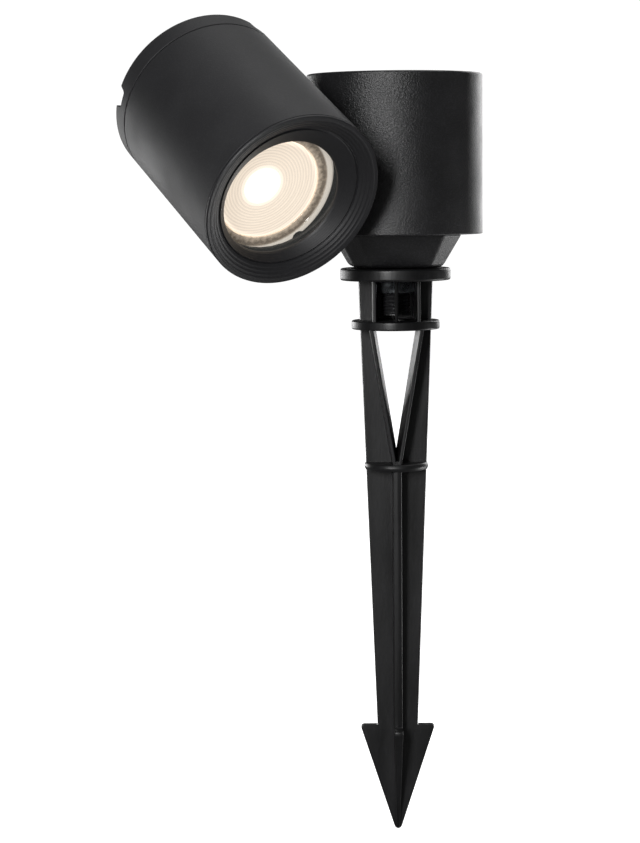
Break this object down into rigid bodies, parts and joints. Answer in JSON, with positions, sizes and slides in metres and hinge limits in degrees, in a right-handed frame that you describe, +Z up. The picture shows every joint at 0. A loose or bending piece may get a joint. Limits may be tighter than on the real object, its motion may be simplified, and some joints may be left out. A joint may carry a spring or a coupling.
{
  "type": "light projector stake",
  "caption": "Garden spike spotlight: a cylindrical lamp head tilts on a side pivot of a cylindrical junction housing that stands on a finned ground spike.",
  "frame": {"origin": "on the spike's axis at the underside of its flange, which is the ground line when the spike is pushed in", "axes": "+Z up along the spike's axis, +X to the right and +Y away from the side that the lamp shines towards; at rest the lamp head points to +X, -Y and down"},
  "size_m": [0.1231, 0.111, 0.2826],
  "materials": {
    "powder_coat": "fine-texture charcoal powder coat",
    "powder_coat_black": "fine-texture near-black powder coat",
    "bezel_black": "satin black coated aluminium",
    "black_plastic": "moulded glass-filled polyamide",
    "inner_plastic": "moulded",
    "rubber": "matt",
    "silicone": "matt",
    "zinc_steel": "bright zinc plate",
    "brass": "plain",
    "ceramic": "unglazed ceramic",
    "white_plastic": "moulded",
    "lamp_lens": "lit warm white lens",
    "clear_glass": "clear toughened",
    "lamp_clear": "clear moulded rim"
  },
  "bodies": {
    "spike": {"ground_spike": "black_plastic", "stem_nut": "zinc_steel"},
    "housing": {"stake_adapter": "powder_coat_black", "junction_housing": "powder_coat_black", "base_plate": "inner_plastic", "base_gasket": "rubber", "base_screw_1": "zinc_steel", "base_screw_2": "zinc_steel", "base_screw_3": "zinc_steel", "adapter_nut": "zinc_steel", "inlet_seal": "rubber", "inlet_cap": "inner_plastic", "terminal_block": "white_plastic", "terminal_screw_1": "brass", "terminal_screw_2": "brass", "terminal_screw_3": "brass", "pivot_tube": "zinc_steel", "pivot_collar": "powder_coat_black", "pivot_seal": "rubber", "pivot_nut_housing": "zinc_steel", "pivot_washer": "zinc_steel", "pivot_nut_head": "zinc_steel"},
    "head": {"head_barrel": "powder_coat", "rear_cap": "powder_coat", "cap_seal": "rubber", "lamp_holder": "ceramic", "holder_bracket": "zinc_steel", "holder_screw_1": "zinc_steel", "holder_screw_2": "zinc_steel", "bracket_screw_1": "zinc_steel", "bracket_screw_2": "zinc_steel"},
    "lamp": {"lamp_body": "white_plastic", "lamp_rim": "lamp_clear", "lamp_lens": "lamp_lens", "lamp_pin_1": "zinc_steel", "lamp_pin_2": "zinc_steel"},
    "glass_pack": {"front_glass": "clear_glass", "glass_gasket": "silicone"},
    "bezel": {"front_bezel": "bezel_black"}
  },
  "joints": [
    {"name": "housing_swivel", "type": "hinge", "parent": "spike", "child": "housing", "pos_m": [0, 0, 0], "axis": [0, 0, 1], "range_deg": [-170, 170]},
    {"name": "head_tilt", "type": "hinge", "parent": "housing", "child": "head", "pos_m": [0, 0, 0.0472], "axis": [-0.8526, -0.5225, 0], "range_deg": [-60, 115]},
    {"name": "lamp_twist", "type": "hinge", "parent": "head", "child": "lamp", "pos_m": [-0.05427, -0.03163, 0.04477], "axis": [0.4539, -0.7406, -0.4955], "range_deg": [0, 15]},
    {"name": "bezel_travel", "type": "slide", "parent": "head", "child": "glass_pack", "axis": [0.4539, -0.7406, -0.4955], "range_m": [0, 0.00602]},
    {"name": "bezel_turn", "type": "hinge", "parent": "glass_pack", "child": "bezel", "pos_m": [-0.05201, -0.03187, 0.0472], "axis": [0.4539, -0.7406, -0.4955], "range_deg": [0, 720]}
  ],
  "couplings": [
    {"joint": "bezel_travel", "follows": "bezel_turn", "m_per_rad": 0.00047746}
  ]
}
